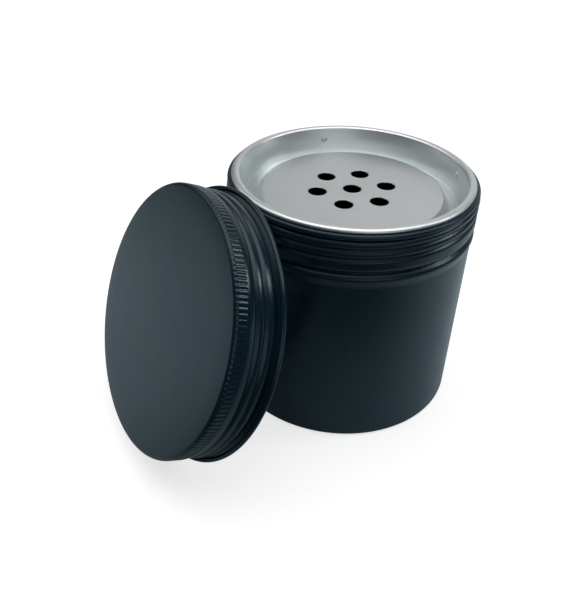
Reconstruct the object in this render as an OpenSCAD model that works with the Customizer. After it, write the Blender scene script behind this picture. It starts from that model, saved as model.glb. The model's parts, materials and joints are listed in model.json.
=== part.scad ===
// A candle tin: a drawn aluminium can with a screw neck, a perforated pan
// seated on its mouth, and its screw lid standing on edge against the can.
// The origin is the centre of the can's foot, on the surface it stands on,
// with +Z up. The viewer's side is -Y, and the lid leans at the front left.

/* [Can] */
// Outer diameter of the straight wall
wall_d = 83; // [80:0.5:85]
// Height to the top of the mouth's curl
can_h = 80; // [70:1:110]
// Radius round the foot's corner
foot_r = 1.5; // [1:0.1:3]
// Height of the small bulge where the wall ends and the neck begins
shoulder_z = 65; // [55:1:65]
// Thickness of the drawn sheet
sheet_t = 0.4; // [0.3:0.05:0.5]

/* [Neck] */
// Diameter of the curl's own round section
curl_d = 1.82; // [1.6:0.02:2]
// Largest diameter over the mouth's curl
curl_over_d = 83.54; // [83:0.02:84]
// Diameter over the neck's thread crests
thread_crest_d = 84.1; // [83.5:0.1:84.4]
// Diameter in the valleys of the thread
thread_root_d = 82; // [81.5:0.1:82.5]
// Distance from one turn of the thread to the next
thread_pitch = 3.05; // [2.9:0.05:3.1]
// Distance from the top of the can down to the thread's first valley
thread_start = 4.25; // [4:0.05:4.5]
// Diameter in the groove between the sealing bead and the wall
groove_d = 81; // [80.5:0.1:81.5]

/* [Pan] */
// Largest diameter over the pan's rolled rim
rim_over_d = 80.78; // [80.6:0.02:81]
// Depth from the top of the rim to the channel round the plateau
pan_depth = 10.4; // [9:0.1:12]
// Height of the plateau above the channel
plateau_h = 3.7; // [3:0.1:4]
// Diameter of the flat plateau
plateau_d = 60.8; // [56:0.2:62]
// Diameter of each hole
hole_d = 6.24; // [5:0.04:8]
// Distance from the middle hole to each of the ring of holes
hole_pitch = 12.1; // [11:0.1:16]
// Number of holes in the ring
ring_holes = 6; // [5:1:7]
// Direction of the first hole and of the first detent
hole_azimuth = 19.5; // [0:0.5:60]
// Number of detents pressed into the pan's wall
detents = 4; // [3:1:6]

/* [Lid] */
// Diameter of the lid's skirt
lid_d = 86.2; // [86:0.1:86.6]
// Height from the flat top to the rim of the hem
lid_h = 16.3; // [16:0.1:17]
// Radius round the edge of the flat top
lid_edge_r = 1.3; // [1:0.1:1.6]
// Largest diameter over the hem
hem_over_d = 88.92; // [88.6:0.02:89]
// Depth pressed into the skirt by each turn of the thread
lid_thread_depth = 0.8; // [0.6:0.05:0.9]
// Thickness of the foam wad inside the lid
wad_t = 1.2; // [1:0.1:1.5]

/* [Place of the leaning lid] */
// How far the lid's axis points above the horizontal
lean_elevation = 22.38; // [22.3:0.01:22.5]
// Direction in which the lid's flat top faces
lean_azimuth = 216.09; // [216:0.01:216.2]
// Middle of the lid's flat top, along X
lean_x = -55.85; // [-56.1:0.01:-55.8]
// Middle of the lid's flat top, along Y
lean_y = -46.1; // [-46.3:0.01:-46.1]
// Middle of the lid's flat top, above the ground
lean_z = 47.06; // [47.05:0.01:47.2]

/* [Hidden] */
$fn = 128;

half_t = sheet_t / 2;
bend_r = curl_d / 2 - half_t;        // a curl's radius to the middle of its sheet
seat_gap = 0.08;                     // air between the pan's rim and the can's curl
wad_gap = 0.05;                      // air between the wad and the lid
curl_r = curl_over_d / 2 - curl_d / 2;
curl_z = can_h - curl_d / 2;
rim_r = rim_over_d / 2 - curl_d / 2;
// The rim's round section rests on the curl's, one circle on another
rim_z = curl_z + sqrt(pow(curl_d + seat_gap, 2) - pow(curl_r - rim_r, 2));
hem_r = hem_over_d / 2 - curl_d / 2;
wall_mid = wall_d / 2 - half_t;      // the wall's radius to the middle of its sheet

// Points on an arc about [x, y]
function arc(x, y, r, from, to, steps) =
    [for (i = [0:steps])
        let (a = from + (to - from) * i / steps)
        [x + r * cos(a), y + r * sin(a)]];

// A rise from 0 to 1 and back to 0 with a broad crest and narrow feet
function crest(f) = 1 - pow((1 + cos(360 * f)) / 2, 1.8);

// A smooth step from 0 to 1
function ease(f) = (1 - cos(180 * f)) / 2;

// A ridge that stands out from radius r between two heights
function ridge(r, rise, from_z, to_z, steps) =
    [for (i = [0:steps])
        [r + rise * crest(i / steps), from_z + (to_z - from_z) * i / steps]];

// A smooth change from one radius and height to another
function blend(r0, z0, r1, z1, steps) =
    [for (i = [0:steps])
        [r0 + (r1 - r0) * ease(i / steps), z0 + (z1 - z0) * i / steps]];

// Leaves out the last point, which the next stretch repeats
function open(points) = [for (i = [0:len(points) - 2]) points[i]];

// Direction of the outline at point i
function heading(p, i) =
    let (d = p[min(i + 1, len(p) - 1)] - p[max(i - 1, 0)])
    d / norm(d);

// The outline moved sideways by a distance
function beside(p, by) =
    [for (i = [0:len(p) - 1])
        let (d = heading(p, i))
        p[i] + by * [-d[1], d[0]]];

// A bent sheet whose middle follows the outline, turned about the axis
module spun_sheet(outline) {
    face = beside(outline, half_t);
    back = beside(outline, -half_t);
    last = len(back) - 1;
    rotate_extrude()
        polygon(concat(face, [for (i = [0:last]) back[last - i]]));
}

// The can's section, from the curl's free edge down to the middle of the floor
function can_outline() =
    let (
        first_valley = can_h - thread_start,
        second_valley = first_valley - thread_pitch,
        root = thread_root_d / 2 - half_t,
        rise = (thread_crest_d - thread_root_d) / 2,
        neck_top = can_h - curl_d - 0.2,
        bead_end = shoulder_z + 3,
        groove_z = shoulder_z + 1.9,
        groove = groove_d / 2 - half_t,
        bulge = thread_crest_d / 2 - half_t
    )
    concat(
        open(arc(curl_r, curl_z, bend_r, -60, 180, 20)),
        open(blend(curl_r - bend_r, curl_z, root, neck_top, 4)),
        open(ridge(root, rise * 0.9, neck_top, first_valley, 10)),
        open(ridge(root, rise, first_valley, second_valley, 12)),
        open(ridge(root, rise * 0.95, second_valley, bead_end, 14)),
        open(blend(root, bead_end, groove, groove_z, 3)),
        open(blend(groove, groove_z, bulge, shoulder_z, 6)),
        open(blend(bulge, shoulder_z, wall_mid, shoulder_z - 3, 6)),
        [[wall_mid, shoulder_z - 6]],
        arc(wall_mid - foot_r + half_t, foot_r, foot_r - half_t, 0, -90, 8),
        [[0, half_t]]
    );

module can() {
    color("#1d2126")
        spun_sheet(can_outline());
}

// The pan's section, from the rim's free edge to the middle of the plateau
function pan_outline() =
    let (
        rim_top = rim_z + curl_d / 2,
        channel_z = rim_top - pan_depth - half_t,
        plateau_z = channel_z + plateau_h,
        channel_out = rim_r - bend_r - 1.5,
        slope = 60,                      // of the step up to the plateau
        bend = 1.2,                      // radius at the foot of the wall
        turn = 0.7,                      // radius at each end of the step
        step_in = plateau_d / 2,
        straight_h = plateau_h - 2 * turn * (1 - cos(slope)),
        step_out = step_in + 2 * turn * sin(slope) + straight_h / tan(slope)
    )
    concat(
        open(arc(rim_r, rim_z, bend_r, -35, 180, 18)),
        arc(channel_out - bend, channel_z + bend, bend, 4, -90, 8),
        arc(step_out, channel_z + turn, turn, -90, -90 - slope, 5),
        arc(step_in, plateau_z - turn, turn, 90 - slope, 90, 5),
        [[0, plateau_z]]
    );

// Places a child at each hole: one in the middle and a ring round it
module at_holes() {
    children();
    for (i = [0:ring_holes - 1])
        rotate(hole_azimuth + i * 360 / ring_holes)
            translate([hole_pitch, 0, 0])
                children();
}

// Places a child at each detent, on the pan's wall
module at_detents() {
    for (i = [0:detents - 1])
        rotate(hole_azimuth + i * 360 / detents)
            translate([rim_r - bend_r - 0.6, 0, rim_z - 3.9])
                children();
}

module pan() {
    detent_r = 1.1;
    color("#b9bdbf")
        difference() {
            union() {
                spun_sheet(pan_outline());
                at_detents()
                    sphere(r = detent_r);
            }
            translate([0, 0, rim_z - pan_depth / 2 - plateau_h])
                at_holes()
                    cylinder(d = hole_d, h = pan_depth);
            at_detents()
                translate([-0.7, 0, 0])
                    sphere(r = detent_r);
        }
}

// The lid's section below its flat top, from the middle of the top to the hem
function lid_outline() =
    let (
        skirt = lid_d / 2 - half_t,
        pitch = thread_pitch,
        band = 6.2,                      // from the flat top to the first turn
        turn = 1.7,                      // height of a pressed thread turn
        groove = skirt - 0.8,
        groove_z = 2.5 - lid_h,
        hem_z = curl_d / 2 - lid_h
    )
    concat(
        [[0, -half_t]],
        open(arc(skirt - lid_edge_r + half_t, -lid_edge_r, lid_edge_r - half_t, 90, 0, 6)),
        ridge(skirt, -lid_thread_depth, -band, -band - turn, 10),
        ridge(skirt, -lid_thread_depth, -band - pitch, -band - pitch - turn, 10),
        open(blend(skirt, groove_z + 1.6, groove, groove_z, 6)),
        open(blend(groove, groove_z, hem_r - bend_r, hem_z, 5)),
        arc(hem_r, hem_z, bend_r, 180, 420, 20)
    );

// Moves a child from its own place, flat top at z = 0, to the leaning place
module leaning() {
    translate([lean_x, lean_y, lean_z])
        rotate([0, 90 - lean_elevation, lean_azimuth])
            children();
}

module lid_shell() {
    color("#2a2f36")
        leaning()
            spun_sheet(lid_outline());
}

module lid_wad() {
    wad_r = lid_d / 2 - lid_edge_r - 0.1;
    color("#e8e6df")
        leaning()
            translate([0, 0, -sheet_t - wad_gap - wad_t])
                cylinder(r = wad_r, h = wad_t);
}

can();
pan();
lid_wad();
lid_shell();
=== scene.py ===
"""The looks of a candle tin: the black can with its screw neck, the bare aluminium pan with seven
holes that sits in its mouth, and the knurled screw lid that leans at the front left.

Sizes are in millimetres, and become metres where a mesh is made."""

import json
import math

import bpy
import numpy as np
from mathutils import Matrix, Vector
from mathutils.geometry import delaunay_2d_cdt


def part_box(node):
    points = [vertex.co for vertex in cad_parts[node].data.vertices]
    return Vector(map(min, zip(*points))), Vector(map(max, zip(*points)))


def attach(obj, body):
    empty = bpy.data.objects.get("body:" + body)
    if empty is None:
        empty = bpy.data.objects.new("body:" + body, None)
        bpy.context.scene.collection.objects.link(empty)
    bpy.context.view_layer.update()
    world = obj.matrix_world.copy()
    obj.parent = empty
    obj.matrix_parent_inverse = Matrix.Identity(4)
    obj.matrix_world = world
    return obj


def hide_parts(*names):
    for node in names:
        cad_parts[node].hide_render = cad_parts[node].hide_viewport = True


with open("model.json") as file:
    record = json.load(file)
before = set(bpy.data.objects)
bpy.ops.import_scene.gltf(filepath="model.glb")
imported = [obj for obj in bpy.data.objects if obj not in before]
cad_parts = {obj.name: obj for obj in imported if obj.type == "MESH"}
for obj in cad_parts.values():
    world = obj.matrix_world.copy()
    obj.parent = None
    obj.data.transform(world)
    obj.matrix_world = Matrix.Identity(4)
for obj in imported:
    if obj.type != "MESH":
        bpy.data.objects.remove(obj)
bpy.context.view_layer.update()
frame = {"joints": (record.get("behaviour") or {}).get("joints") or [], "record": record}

MM = 0.001
SHEET = 0.4                 # thickness of the drawn sheet
CURL = 1.82                 # diameter of each rolled edge's round section
BEND = (CURL - SHEET) / 2   # a rolled edge's radius to the middle of its sheet
PITCH = 3.05                # of the screw thread
ROW_STEP = 0.19             # between the rows of points on a threaded wall
ON_AXIS = 0.05              # a row closer to the axis than this becomes one point
SMOOTH_BELOW = 40           # degrees; edges that turn by more are drawn sharp


def top_and_width(node):
    """Height and largest radius of a CAD node that stands on the can's axis."""
    low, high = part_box(node)
    return high.z / MM, (high.x - low.x) / 2 / MM


CAN_TOP, CAN_WIDEST = top_and_width("can")
RIM_TOP, RIM_WIDEST = top_and_width("pan")
PAN_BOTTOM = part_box("pan")[0].z / MM
WALL_RADIUS = next(
    m["dims"]["r_mm"] for m in frame["record"]["mounts"] if m["name"] == "wall_outside"
)
LID_TURN = next(j for j in frame["joints"] if j["name"] == "lid_turn")


# ---------------------------------------------------------------- outlines and meshes

def arc(x, y, r, start, end, steps):
    """Points on an arc about (x, y), from one angle to another in degrees."""
    a = np.radians(np.linspace(start, end, steps + 1))
    return np.column_stack([x + r * np.cos(a), y + r * np.sin(a)])


def line(start, end, steps):
    """Points on a straight line, without its two ends."""
    t = np.linspace(0, 1, steps + 1)[1:-1, None]
    return (1 - t) * np.array(start) + t * np.array(end)


def ease(x, low, high):
    """0 below low, 1 above high, and smooth between them."""
    t = np.clip((np.asarray(x, float) - low) / (high - low), 0, 1)
    return t * t * (3 - 2 * t)


def spread(outline, angles):
    """The same outline at every angle: an array of (row, column, radius and height)."""
    return np.repeat(np.asarray(outline)[:, None, :], len(angles), axis=1)


def faces_of_sheet(middle):
    """The two faces of a sheet whose middle is given as (row, column, radius and height)."""
    along = np.gradient(middle, axis=0)
    along /= np.linalg.norm(along, axis=2, keepdims=True)
    across = np.stack([-along[..., 1], along[..., 0]], axis=2) * SHEET / 2
    return middle + across, middle - across


def rings(surface, angles):
    """Rows of radius and height as rings of points. A row on the axis is one point."""
    result = []
    for row in surface:
        if np.abs(row[:, 0]).max() < ON_AXIS:
            result.append(np.array([[0.0, 0.0, row[:, 1].mean()]]))
        else:
            x, y = row[:, 0] * np.cos(angles), row[:, 0] * np.sin(angles)
            result.append(np.column_stack([x, y, row[:, 1]]))
    return result


def band(a, b, start_a, start_b):
    """Faces between two rings whose points are numbered from start_a and start_b. One ring may be
    a single point, or have a multiple of the other's points."""
    n, m = len(a), len(b)
    if n == 1 and m == 1:
        return []
    if n == m:
        return [
            (start_a + i, start_a + (i + 1) % n, start_b + (i + 1) % n, start_b + i)
            for i in range(n)
        ]
    if n > m:
        return [tuple(reversed(f)) for f in band(b, a, start_b, start_a)]
    if n == 1:
        return [(start_a, start_b + (i + 1) % m, start_b + i) for i in range(m)]
    k = m // n
    half = k // 2
    found = []
    for i in range(n):
        here, after = start_a + i, start_a + (i + 1) % n
        for j in range(k):
            corner = here if j < half else after
            found.append((corner, start_b + (i * k + j + 1) % m, start_b + i * k + j))
        found.append((here, after, start_b + i * k + half))
    return found


def skin(all_rings, closed=False):
    """Points and faces of a surface through rings, in order."""
    points, faces, starts = [], [], []
    count = 0
    for ring in all_rings:
        starts.append(count)
        points.append(ring)
        count += len(ring)
    order = list(range(len(all_rings)))
    pairs = list(zip(order, order[1:])) + ([(order[-1], 0)] if closed else [])
    for i, j in pairs:
        faces += band(all_rings[i], all_rings[j], starts[i], starts[j])
    return np.concatenate(points), faces


def make(name, points, faces, material, body, node, matrix=None):
    """A smooth mesh from points in millimetres. It stands for a CAD node and rides on its body."""
    mesh = bpy.data.meshes.new(name)
    mesh.from_pydata((np.asarray(points) * MM).tolist(), [], faces)
    if matrix is not None:
        mesh.transform(matrix)
    mesh.validate()
    piece = bpy.data.objects.new(name, mesh)
    bpy.context.scene.collection.objects.link(piece)
    bpy.context.view_layer.objects.active = piece
    bpy.ops.object.mode_set(mode="EDIT")
    bpy.ops.mesh.select_all(action="SELECT")
    bpy.ops.mesh.normals_make_consistent(inside=False)
    bpy.ops.object.mode_set(mode="OBJECT")
    mesh.polygons.foreach_set("use_smooth", [True] * len(mesh.polygons))
    mesh.set_sharp_from_angle(angle=math.radians(SMOOTH_BELOW))
    mesh.materials.append(material)
    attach(piece, body)
    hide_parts(node)
    return piece


def thread(height, angle, turn_height, depth, narrowness, first, last, fade):
    """How deep a right-hand thread's valley is. turn_height is a valley's height at angle 0. The
    valley ends at the angles first and last, in degrees and counted on through whole turns."""
    total = np.zeros(np.broadcast(height, angle).shape)
    for turn in range(-3, 4):
        a = angle + 360 * turn
        off = np.clip((height - turn_height - PITCH * a / 360) / PITCH, -0.5, 0.5)
        shape = ((1 + np.cos(2 * np.pi * off)) / 2) ** narrowness
        total += depth * shape * ease(a, first, first + fade) * (1 - ease(a, last - fade, last))
    return total


# ---------------------------------------------------------------- materials
# Lengths in this section are metres: a noise's scale is features per metre, and a bump's depth.

PAINT_TINT = (0.75, 0.96, 1.0, 1.0)     # of the reflections in the black paint, slightly teal


class Nodes:
    """Short calls for building a material's node tree."""

    def __init__(self, name):
        self.material = bpy.data.materials.new(name)
        self.material.use_nodes = True
        self.tree = self.material.node_tree
        self.shader = self.tree.nodes["Principled BSDF"]
        coordinates = self.tree.nodes.new("ShaderNodeTexCoord")
        self.place = coordinates.outputs["Object"]

    def set(self, **values):
        for name, value in values.items():
            self.shader.inputs[name.replace("_", " ")].default_value = value

    def link(self, source, name):
        self.tree.links.new(source, self.shader.inputs[name])

    def noise(self, scale, detail=3.0, roughness=0.5, where=None):
        node = self.tree.nodes.new("ShaderNodeTexNoise")
        node.inputs["Scale"].default_value = scale
        node.inputs["Detail"].default_value = detail
        node.inputs["Roughness"].default_value = roughness
        self.tree.links.new(where or self.place, node.inputs["Vector"])
        return node.outputs["Fac"]

    def stretched(self, scale):
        node = self.tree.nodes.new("ShaderNodeMapping")
        node.inputs["Scale"].default_value = scale
        self.tree.links.new(self.place, node.inputs["Vector"])
        return node.outputs["Vector"]

    def ramp(self, source, low, high, at_low, at_high):
        """source from low to high becomes a value or colour from at_low to at_high."""
        node = self.tree.nodes.new("ShaderNodeValToRGB")
        first, second = node.color_ramp.elements
        first.position, second.position = low, high
        for element, value in ((first, at_low), (second, at_high)):
            colour = value if isinstance(value, tuple) else (value, value, value)
            element.color = (*colour, 1)
        self.tree.links.new(source, node.inputs["Fac"])
        return node.outputs["Color"]

    def bump(self, source, distance, strength=1.0, under=None):
        """Height from source, distance deep in metres, over the bump under it."""
        node = self.tree.nodes.new("ShaderNodeBump")
        node.inputs["Strength"].default_value = strength
        node.inputs["Distance"].default_value = distance
        self.tree.links.new(source, node.inputs["Height"])
        if under is not None:
            self.tree.links.new(under, node.inputs["Normal"])
        return node.outputs["Normal"]


def black_paint(name, dark, light, gloss):
    """Satin black paint with a fine orange peel and a little unevenness in its gloss."""
    n = Nodes(name)
    n.link(n.ramp(n.noise(55, 4), 0.35, 0.65, dark, light), "Base Color")
    n.link(n.ramp(n.noise(240, 5, 0.6), 0.3, 0.7, gloss - 0.03, gloss + 0.03), "Roughness")
    peel = n.bump(n.noise(2600, 2), 0.000006, 0.6)
    n.link(n.bump(n.noise(320, 2), 0.00001, 0.35, peel), "Normal")
    n.set(Specular_IOR_Level=0.5, Specular_Tint=PAINT_TINT)
    return n.material


def bare_aluminium(name):
    """Bare drawn aluminium with a satin bloom and faint marks from drawing."""
    dark, light = (0.79, 0.835, 0.845), (0.83, 0.87, 0.88)
    n = Nodes(name)
    n.link(n.ramp(n.noise(90, 4), 0.3, 0.7, dark, light), "Base Color")
    n.link(n.ramp(n.noise(700, 4, 0.6), 0.3, 0.7, 0.33, 0.40), "Roughness")
    grain = n.bump(n.noise(3200, 3), 0.000006, 0.4)
    drawn = n.noise(1, 3, where=n.stretched((60, 60, 700)))
    n.link(n.bump(drawn, 0.00002, 0.35, grain), "Normal")
    n.set(Metallic=1.0)
    return n.material


def foam(name):
    """Off-white closed-cell foam."""
    dark, light = (0.70, 0.69, 0.66), (0.80, 0.79, 0.76)
    n = Nodes(name)
    n.link(n.ramp(n.noise(1500, 2), 0.3, 0.7, dark, light), "Base Color")
    n.link(n.bump(n.noise(2200, 2), 0.00008, 0.6), "Normal")
    n.set(Roughness=0.75)
    return n.material


# ---------------------------------------------------------------- the can

CURL_INSET = 0.28           # of the curl behind the shoulder bulge, the can's widest place
CREST_OUT = 0.47            # of the thread's crests, beyond the straight wall
CAN_THREAD = {
    "turn_height": 75.9, "depth": 0.95, "narrowness": 1.8, "first": -540, "last": 350, "fade": 60
}
FOOT_RADIUS = 1.5


def build_can(material):
    """One sheet: the mouth's curl, the screw neck, the groove and bulge under it, the wall and the
    floor."""
    angles = np.radians(np.arange(0, 360, 1.2))
    degrees = np.degrees(angles)[None, :]
    curl_r = CAN_WIDEST - CURL / 2 - CURL_INSET
    curl_z = CAN_TOP - CURL / 2
    neck_top = curl_z - BEND - 0.15
    under_curl = 0.6            # how far the neck draws in just under the curl
    crest = WALL_RADIUS + CREST_OUT
    groove_z, groove_depth, groove_half = 66.9, 1.45, 0.95
    bulge_z, bulge_rise, bulge_half = 65.0, 0.1, 0.9
    wall_end = 61.6             # the straight wall's top

    heights = np.arange(neck_top, wall_end, -ROW_STEP)
    level = (
        crest
        - under_curl * ease(heights, neck_top - 0.9, neck_top + 0.2)
        - groove_depth * np.exp(-(((heights - groove_z) / groove_half) ** 2))
        + bulge_rise * np.exp(-(((heights - bulge_z) / bulge_half) ** 2))
        - (crest - WALL_RADIUS) * (1 - ease(heights, wall_end, bulge_z))
    )
    valleys = thread(heights[:, None], degrees, **CAN_THREAD)
    tall = np.repeat(heights[:, None], len(angles), 1)
    neck = np.stack([level[:, None] - valleys - SHEET / 2, tall], axis=2)
    curl = arc(curl_r, curl_z, BEND, -75, 200, 28)
    wall_mid = WALL_RADIUS - SHEET / 2
    lower = np.concatenate([
        line((wall_mid, wall_end - 0.5), (wall_mid, FOOT_RADIUS), 8),
        arc(wall_mid - FOOT_RADIUS + SHEET / 2, FOOT_RADIUS, FOOT_RADIUS - SHEET / 2, 0, -90, 8),
        line((wall_mid - FOOT_RADIUS, SHEET / 2), (0, SHEET / 2), 6),
        [[0, SHEET / 2]],
    ])
    middle = np.concatenate([spread(curl, angles), neck, spread(lower, angles)])
    outside, inside = faces_of_sheet(middle)
    points, faces = skin(rings(outside, angles) + rings(inside, angles)[::-1], closed=True)
    make("can_shell", points, faces, material, "can", "can")


# ---------------------------------------------------------------- the pan

HOLE_PITCH, HOLE_RADIUS = 12.1, 3.12
HOLE_EDGE = 0.12            # radius round each hole's upper edge
HOLE_MARGIN = 0.3           # a flat ring round each hole, which keeps its shading clean
HOLE_AZIMUTH = 19.5         # of the first hole in the ring, in degrees
RING_HOLES = 6
HOLE_SIDES = 72
BURR = 0.05                 # how far a hole's edge is ragged
PLATEAU_RADIUS, PLATEAU_HEIGHT = 30.2, 3.7
RIM_HALF = 1.2              # half the flattened roll's width, to the middle of its sheet
RIM_OUT = 0.05              # how far the roll reaches past the CAD rim
WALL_FOOT_IN = 3.12         # from the CAD rim in to the foot of the pan's wall
DETENTS = 4
DETENT_AZIMUTH = 18.9
DETENT_HEIGHT, DETENT_RADIUS, DETENT_DEPTH = 76.8, 0.92, 0.5


def hole_centres():
    """The middle hole's place, then the ring's."""
    around = [math.radians(HOLE_AZIMUTH + 360 / RING_HOLES * i) for i in range(RING_HOLES)]
    return [(0.0, 0.0)] + [(HOLE_PITCH * math.cos(a), HOLE_PITCH * math.sin(a)) for a in around]


def perforated_disc(edge, hole_radius, height):
    """A flat disc inside a ring of points, with the pan's holes in it. Gives its points, the
    ring's first and then each hole's, and its faces."""
    circle = [2 * math.pi * i / HOLE_SIDES for i in range(HOLE_SIDES)]
    loops = [[(x, y) for x, y, _ in edge]]
    for cx, cy in hole_centres():
        loops.append([
            (cx + hole_radius * math.cos(a), cy + hole_radius * math.sin(a)) for a in circle
        ])
    flat = [Vector(p) for loop in loops for p in loop]
    edges, start = [], 0
    for loop in loops:
        edges += [(start + i, start + (i + 1) % len(loop)) for i in range(len(loop))]
        start += len(loop)
    found = delaunay_2d_cdt(flat, edges, [], 0, 1e-6, True)
    points, triangles, origins = found[0], found[2], found[3]
    place = {i: source for i, sources in enumerate(origins) for source in sources}
    kept = []
    for triangle in triangles:
        centre = sum((points[i] for i in triangle), Vector((0, 0))) / 3
        if all((centre - Vector(c)).length > hole_radius * 0.98 for c in hole_centres()):
            kept.append(tuple(place[i] for i in triangle))
    return np.array([(p.x, p.y, height) for p in flat]), kept


def pan_angles(detents):
    """Column angles, closer together across each detent."""
    coarse_step, fine_step = 1.25, 0.2
    reach = 2.4
    coarse = np.arange(0, 360, coarse_step)
    fine = [np.arange(d - reach, d + reach + 0.01, fine_step) for d in detents]
    keep = [
        a for a in coarse
        if all(abs((a - d + 180) % 360 - 180) > reach + fine_step for d in detents)
    ]
    return np.radians(np.sort(np.concatenate([keep, *fine]) % 360))


def build_pan(material):
    """One sheet: the flattened rim, the wall with its detents, the channel, the step and the
    perforated plateau."""
    rng = np.random.default_rng(7)
    detents = [DETENT_AZIMUTH + 360 / DETENTS * i for i in range(DETENTS)]
    angles = pan_angles(detents)
    rim_r = RIM_WIDEST + RIM_OUT - SHEET / 2 - RIM_HALF
    rim_z = RIM_TOP - CURL / 2
    channel_z = PAN_BOTTOM + SHEET / 2
    plateau_z = channel_z + PLATEAU_HEIGHT
    wall_top = rim_r - RIM_HALF
    wall_foot = RIM_WIDEST - WALL_FOOT_IN
    bend = 0.7                  # radius at the foot of the wall
    turn, slope = 0.7, 60       # radius at each end of the step up to the plateau, and its slope
    rise = PLATEAU_HEIGHT - 2 * turn * (1 - math.cos(math.radians(slope)))
    run = 2 * turn * math.sin(math.radians(slope)) + rise / math.tan(math.radians(slope))
    step_out = PLATEAU_RADIUS + run
    plateau_edge = 0.6          # a flat ring inside the plateau's edge

    outline = np.concatenate([
        arc(0, 0, 1, -60, 178, 28) * (RIM_HALF, BEND) + (rim_r, rim_z),
        line((wall_top, rim_z), (wall_foot, channel_z + bend), 46),
        arc(wall_foot - bend, channel_z + bend, bend, 4, -90, 9),
        line((wall_foot - bend, channel_z), (step_out, channel_z), 4),
        arc(step_out, channel_z + turn, turn, -90, -90 - slope, 5),
        arc(PLATEAU_RADIUS, plateau_z - turn, turn, 90 - slope, 90, 6),
        [[PLATEAU_RADIUS - plateau_edge, plateau_z]],
    ])
    middle = spread(outline, angles)
    on_wall = ease(middle[..., 0], wall_foot - 0.2, wall_foot)
    on_wall = on_wall * ease(rim_z - middle[..., 1], 0.5, 1)
    for d in detents:
        turned = (np.degrees(angles) - d + 180) % 360 - 180
        sideways = np.radians(turned)[None, :] * wall_top
        off = np.hypot(sideways, middle[..., 1] - DETENT_HEIGHT) / DETENT_RADIUS
        pit = DETENT_DEPTH * np.exp(-(off ** 4))
        dish = 0.15 * np.exp(-((off / 3) ** 2))     # the sheet drawn in round the pit
        middle[..., 0] += on_wall * (pit + dish)

    below, above = faces_of_sheet(middle)       # the outline runs inwards
    above, below = rings(above, angles), rings(below, angles)
    points, faces = skin(below[::-1] + above)
    count = len(angles)
    top_z, bottom_z = plateau_z + SHEET / 2, plateau_z - SHEET / 2
    top, top_faces = perforated_disc(above[-1], HOLE_RADIUS + HOLE_EDGE + HOLE_MARGIN, top_z)
    bottom, bottom_faces = perforated_disc(below[-1], HOLE_RADIUS + HOLE_MARGIN, bottom_z)

    total = len(points)
    above_start = total - count                 # the plateau's edge on the upper face
    below_start = 0                             # and on the lower one

    def numbered(triangles, edge_start, holes_start):
        """The disc's faces, numbered as the whole pan's points are."""
        return [
            tuple(edge_start + i if i < count else holes_start + i - count for i in t)
            for t in triangles
        ]

    top_holes = total
    bottom_holes = top_holes + len(top) - count
    total = bottom_holes + len(bottom) - count
    all_points = [points, top[count:], bottom[count:]]
    faces += numbered(top_faces, above_start, top_holes)
    faces += numbered(bottom_faces, below_start, bottom_holes)

    circle = np.linspace(0, 2 * math.pi, HOLE_SIDES, endpoint=False)
    for i, (cx, cy) in enumerate(hole_centres()):
        waves = rng.uniform(0, 2 * math.pi, 3)
        burr = sum(np.cos(k * circle + w) for k, w in zip((3, 7, 11), waves)) / 3
        levels = np.concatenate([
            arc(HOLE_RADIUS + HOLE_EDGE, top_z - HOLE_EDGE, HOLE_EDGE, 90, 180, 4),
            [[HOLE_RADIUS, bottom_z]],
        ])
        starts = [top_holes + i * HOLE_SIDES]
        for r, z in levels:
            ragged = ease(top_z - z, 0, HOLE_EDGE) * BURR * burr
            all_points.append(np.column_stack([
                cx + (r - ragged) * np.cos(circle),
                cy + (r - ragged) * np.sin(circle),
                np.full(HOLE_SIDES, z),
            ]))
            starts.append(total)
            total += HOLE_SIDES
        starts.append(bottom_holes + i * HOLE_SIDES)
        for a, b in zip(starts, starts[1:]):
            faces += [
                (a + j, a + (j + 1) % HOLE_SIDES, b + (j + 1) % HOLE_SIDES, b + j)
                for j in range(HOLE_SIDES)
            ]
    make("pan_sheet", np.concatenate(all_points), faces, material, "pan", "pan")


# ---------------------------------------------------------------- the lid

TEETH = 170                 # flutes in the knurl
COLUMNS_PER_TOOTH = 8
FLUTE_HALF, FLUTE_DEPTH = 0.47, 0.12
FLUTES_FROM, FLUTES_TO = 0.75, 3.7      # where a flute's round ends begin, below the flat top
LID_HEIGHT = 16.3
SKIRT_RADIUS = 43.1
LID_EDGE = 1.3              # radius round the edge of the flat top
HEM_WIDEST = 44.46
LID_THREAD = {
    "turn_height": -10.55, "depth": 0.55, "narrowness": 2.6, "first": -150, "last": 555, "fade": 70
}
WAD_RADIUS, WAD_THICKNESS, WAD_GAP = 41.7, 1.2, 0.05


def lid_matrix():
    """From the lid's own axes, with its flat top at z = 0 and facing +Z, to the leaning place."""
    normal = Vector(LID_TURN["axis"]).normalized()
    level = Vector((0, 0, 1)).cross(normal).normalized()
    steep = normal.cross(level)
    turn = Matrix((level, steep, normal)).transposed().to_4x4()
    return Matrix.Translation(Vector(LID_TURN["pos_m"])) @ turn


def knurled_rings(depths):
    """Rings round the lid's edge with a flute pressed in at each tooth. depths are distances from
    the flat top."""
    count = TEETH * COLUMNS_PER_TOOTH
    angles = 2 * math.pi * np.arange(count) / count
    tooth = 2 * math.pi * SKIRT_RADIUS / TEETH
    sideways = ((np.arange(count) / COLUMNS_PER_TOOTH) % 1 - 0.5) * tooth
    found = []
    for s in depths:
        inset = LID_EDGE - math.sqrt(LID_EDGE ** 2 - max(0.0, LID_EDGE - s) ** 2)
        beyond = max(FLUTES_FROM - s, s - FLUTES_TO, 0.0)
        off = np.hypot(sideways, beyond) / FLUTE_HALF
        flute = FLUTE_DEPTH * np.clip(1 - off ** 2.4, 0, 1) ** 0.9
        radius = SKIRT_RADIUS - inset - flute
        x, y = radius * np.cos(angles), radius * np.sin(angles)
        found.append(np.column_stack([x, y, np.full(count, -s)]))
    return found


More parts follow.
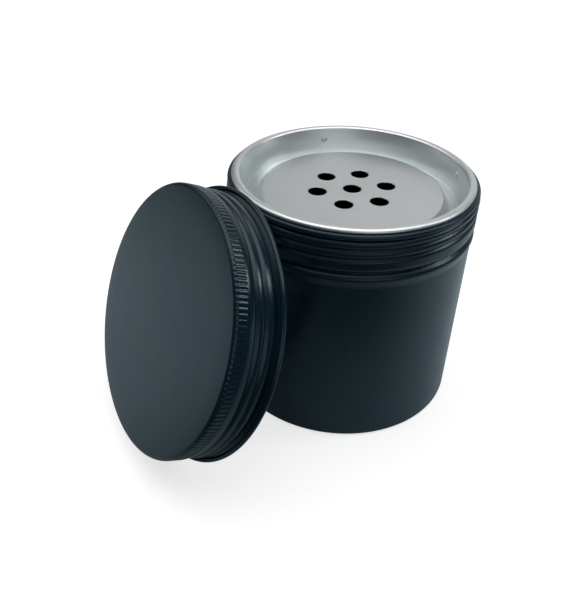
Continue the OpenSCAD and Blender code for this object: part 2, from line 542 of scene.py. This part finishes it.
def build_lid(material, matrix):
    """One sheet: the flat top, the knurl pressed into its outside, the threaded skirt, the groove
    and the hem."""
    angles = 2 * math.pi * np.arange(TEETH * 2) / (TEETH * 2)
    degrees = np.degrees(angles)[None, :]
    skirt = SKIRT_RADIUS - SHEET / 2
    edge = arc(skirt - LID_EDGE + SHEET / 2, -LID_EDGE, LID_EDGE - SHEET / 2, 90, 0, 10)
    top = np.concatenate([[[0, -SHEET / 2]], line((0, -SHEET / 2), edge[0], 7), edge])
    knurl_from, knurl_to = 0.24, 4.3
    skirt_step = 0.3            # how far the skirt draws in under the knurl
    groove_z, groove_depth, groove_half = -14.45, 0.75, 1.05
    skirt_end = -14.6
    hem_r = HEM_WIDEST - CURL / 2
    hem_z = CURL / 2 - LID_HEIGHT

    heights = np.arange(-knurl_to, skirt_end, -ROW_STEP)
    level = (
        skirt
        - skirt_step * (1 - ease(heights, -7.0, -4.5))
        - groove_depth * np.exp(-(((heights - groove_z) / groove_half) ** 2))
    )
    valleys = thread(heights[:, None], degrees, **LID_THREAD)
    tall = np.repeat(heights[:, None], len(angles), 1)
    side = np.stack([level[:, None] - valleys, tall], axis=2)
    hem = arc(hem_r, hem_z, BEND, 165, 440, 28)
    middle = np.concatenate([spread(top, angles), side, spread(hem, angles)])
    outside, inside = faces_of_sheet(middle)
    outside_rings = rings(outside, angles)
    last_plain = max(i for i in range(len(top)) if outside[i, 0, 1] > -knurl_from)
    depths = np.concatenate([
        np.linspace(knurl_from, 1.2, 9), np.linspace(1.7, 3.2, 4), np.linspace(3.5, 4.25, 7)
    ])
    plain_top, plain_side = outside_rings[: last_plain + 1], outside_rings[len(top):]
    outside_rings = plain_top + knurled_rings(depths) + plain_side
    points, faces = skin(outside_rings + rings(inside, angles)[::-1])
    make("lid_screw_cap", points, faces, material, "lid", "lid_shell", matrix)


def build_wad(material, matrix):
    """The foam disc inside the lid, with a soft edge."""
    angles = 2 * math.pi * np.arange(240) / 240
    low, high = -SHEET - WAD_GAP - WAD_THICKNESS, -SHEET - WAD_GAP
    soft = 0.35                 # radius round its edges
    outline = np.concatenate([
        [[0, low]],
        line((0, low), (WAD_RADIUS - soft, low), 6),
        arc(WAD_RADIUS - soft, low + soft, soft, -90, 0, 5),
        arc(WAD_RADIUS - soft, high - soft, soft, 0, 90, 5),
        line((WAD_RADIUS - soft, high), (0, high), 6),
        [[0, high]],
    ])
    points, faces = skin(rings(spread(outline, angles), angles))
    wad = make("foam_wad", points, faces, material, "wad", "lid_wad", matrix)


# ---------------------------------------------------------------- floor, lights and camera

# The floor's colour along Y, in metres, for everything but the camera. This is painted shade: dark
# in front of the tin, where the viewer's shadow would fall, and pale beside it, so the tin
# reflects a painted shadow in front
FLOOR_PAINTED_SHADE = ((-0.12, 0.1), (-0.04, 0.95), (0.05, 1.0), (0.25, 0.6))
# The cool tint of that painted floor. It is a painted reflection colour that the tin's paint and
# metal take on
FLOOR_REFLECTED_TINT = (0.76, 0.92, 1.0)
FLOOR_SEEN = (0.6, 0.6, 0.6, 1)         # the floor's colour for the camera
FLOOR_GLOW = 0.7                        # and the light it adds there, which makes it white

# The studio's soft lights: azimuth and elevation of the middle of each, how far it reaches from
# there, all in degrees, and its strength
SOFT_LIGHTS = {
    "overhead": (60, 84, 42, 1.75),
    "left": (160, 45, 38, 0.75),
    "behind": (78, 4, 48, 0.55),
    "front": (295, 12, 34, 0.65),
    "window": (14, 33, 9, 7.5),
    "above window": (12, 48, 14, 1.2),
}
LIGHT_CORE = 0.15           # the share of its reach over which a light is at full strength
AMBIENT = 0.06              # from everywhere else

# The photograph's viewpoint, in metres, and where it looks
CAMERA_AT = (0, -0.21585, 0.17937)
CAMERA_FORWARD = Vector((-0.07125, 0.81412, -0.57631))
CAMERA_RIGHT = Vector((0.99329, 0.11070, 0.03358))
CAMERA_LENS, CAMERA_SENSOR = 42.107, 36


def build_floor():
    """A floor that the camera sees as white with faint shadows. What it gives back to the tin is
    painted
    shade: dark in front, where the viewer stands, and pale beside the tin, in a cool tint."""
    bpy.ops.mesh.primitive_plane_add(size=8, location=(0, 0, 0))
    floor = bpy.context.object
    floor.name = "floor"
    nearest, farthest = FLOOR_PAINTED_SHADE[0][0], FLOOR_PAINTED_SHADE[-1][0]
    n = Nodes("pale_floor")
    parts = n.tree.nodes.new("ShaderNodeSeparateXYZ")
    n.tree.links.new(n.place, parts.inputs["Vector"])
    depth = n.tree.nodes.new("ShaderNodeMapRange")
    depth.inputs["From Min"].default_value = nearest
    depth.inputs["From Max"].default_value = farthest
    n.tree.links.new(parts.outputs["Y"], depth.inputs["Value"])
    # Painted shade for the tin's reflections only: the floor's colour runs from dark in front of
    # the tin to pale beside it
    painted_shade = n.tree.nodes.new("ShaderNodeValToRGB")
    stops = painted_shade.color_ramp.elements
    while len(stops) < len(FLOOR_PAINTED_SHADE):
        stops.new(0.5)
    for stop, (y, level) in zip(stops, FLOOR_PAINTED_SHADE):
        stop.position = (y - nearest) / (farthest - nearest)
        stop.color = (*(part * level for part in FLOOR_REFLECTED_TINT), 1)
    n.tree.links.new(depth.outputs["Result"], painted_shade.inputs["Fac"])
    seen = n.tree.nodes.new("ShaderNodeLightPath").outputs["Is Camera Ray"]
    choose = n.tree.nodes.new("ShaderNodeMix")
    choose.data_type = "RGBA"
    n.tree.links.new(seen, choose.inputs["Factor"])
    # A mix node's colour sockets share their names with its other sockets, so they go by number
    n.tree.links.new(painted_shade.outputs["Color"], choose.inputs[6])
    choose.inputs[7].default_value = FLOOR_SEEN
    n.link(choose.outputs[2], "Base Color")
    glow = n.tree.nodes.new("ShaderNodeMath")
    glow.operation = "MULTIPLY"
    glow.inputs[1].default_value = FLOOR_GLOW
    n.tree.links.new(seen, glow.inputs[0])
    n.link(glow.outputs["Value"], "Emission Strength")
    n.set(Roughness=0.6, Specular_IOR_Level=0.0, Emission_Color=(1, 1, 1, 1))
    floor.data.materials.append(n.material)


def build_light():
    """A dome of soft lights. The camera itself sees a plain pale background."""
    world = bpy.data.worlds.new("studio")
    bpy.context.scene.world = world
    world.use_nodes = True
    nodes, links = world.node_tree.nodes, world.node_tree.links
    direction = nodes.new("ShaderNodeTexCoord").outputs["Generated"]
    total = None
    for azimuth, elevation, reach, strength in SOFT_LIGHTS.values():
        a, e = math.radians(azimuth), math.radians(elevation)
        towards = nodes.new("ShaderNodeVectorMath")
        towards.operation = "DOT_PRODUCT"
        towards.inputs[1].default_value = (
            math.cos(e) * math.cos(a), math.cos(e) * math.sin(a), math.sin(e)
        )
        links.new(direction, towards.inputs[0])
        falloff = nodes.new("ShaderNodeMapRange")
        falloff.interpolation_type = "SMOOTHERSTEP"
        falloff.inputs["From Min"].default_value = math.cos(math.radians(reach))
        falloff.inputs["From Max"].default_value = math.cos(math.radians(reach * LIGHT_CORE))
        falloff.inputs["To Max"].default_value = strength
        links.new(towards.outputs["Value"], falloff.inputs["Value"])
        add = nodes.new("ShaderNodeMath")
        add.operation = "ADD"
        add.inputs[1].default_value = AMBIENT
        links.new(falloff.outputs["Result"], add.inputs[0])
        if total is not None:
            links.new(total, add.inputs[1])
        total = add.outputs["Value"]
    seen = nodes.new("ShaderNodeLightPath")
    choose = nodes.new("ShaderNodeMix")
    links.new(seen.outputs["Is Camera Ray"], choose.inputs["Factor"])
    links.new(total, choose.inputs["A"])
    choose.inputs["B"].default_value = 1.0
    links.new(choose.outputs["Result"], nodes["Background"].inputs["Strength"])
    nodes["Background"].inputs["Color"].default_value = (1, 1, 1, 1)


def build_camera():
    """The photograph's viewpoint: above and in front of the tin, looking down on it."""
    data = bpy.data.cameras.new("camera")
    data.sensor_width = CAMERA_SENSOR
    data.lens = CAMERA_LENS
    camera = bpy.data.objects.new("camera", data)
    bpy.context.scene.collection.objects.link(camera)
    forward = CAMERA_FORWARD.normalized()
    right = (CAMERA_RIGHT - CAMERA_RIGHT.dot(forward) * forward).normalized()
    up = right.cross(forward)
    turn = Matrix((right, up, -forward)).transposed().to_4x4()
    camera.matrix_world = Matrix.Translation(CAMERA_AT) @ turn
    bpy.context.scene.camera = camera


black = black_paint("black_paint", (0.0008, 0.011, 0.021), (0.0012, 0.014, 0.026), 0.3)
lid_black = black_paint("black_paint_lid", (0.0008, 0.012, 0.022), (0.0012, 0.015, 0.027), 0.24)
build_can(black)
build_pan(bare_aluminium("bare_aluminium"))
leaning = lid_matrix()
build_lid(lid_black, leaning)
build_wad(foam("foam_wad"), leaning)
build_floor()
build_light()
build_camera()
bpy.context.scene.view_settings.view_transform = "Standard"
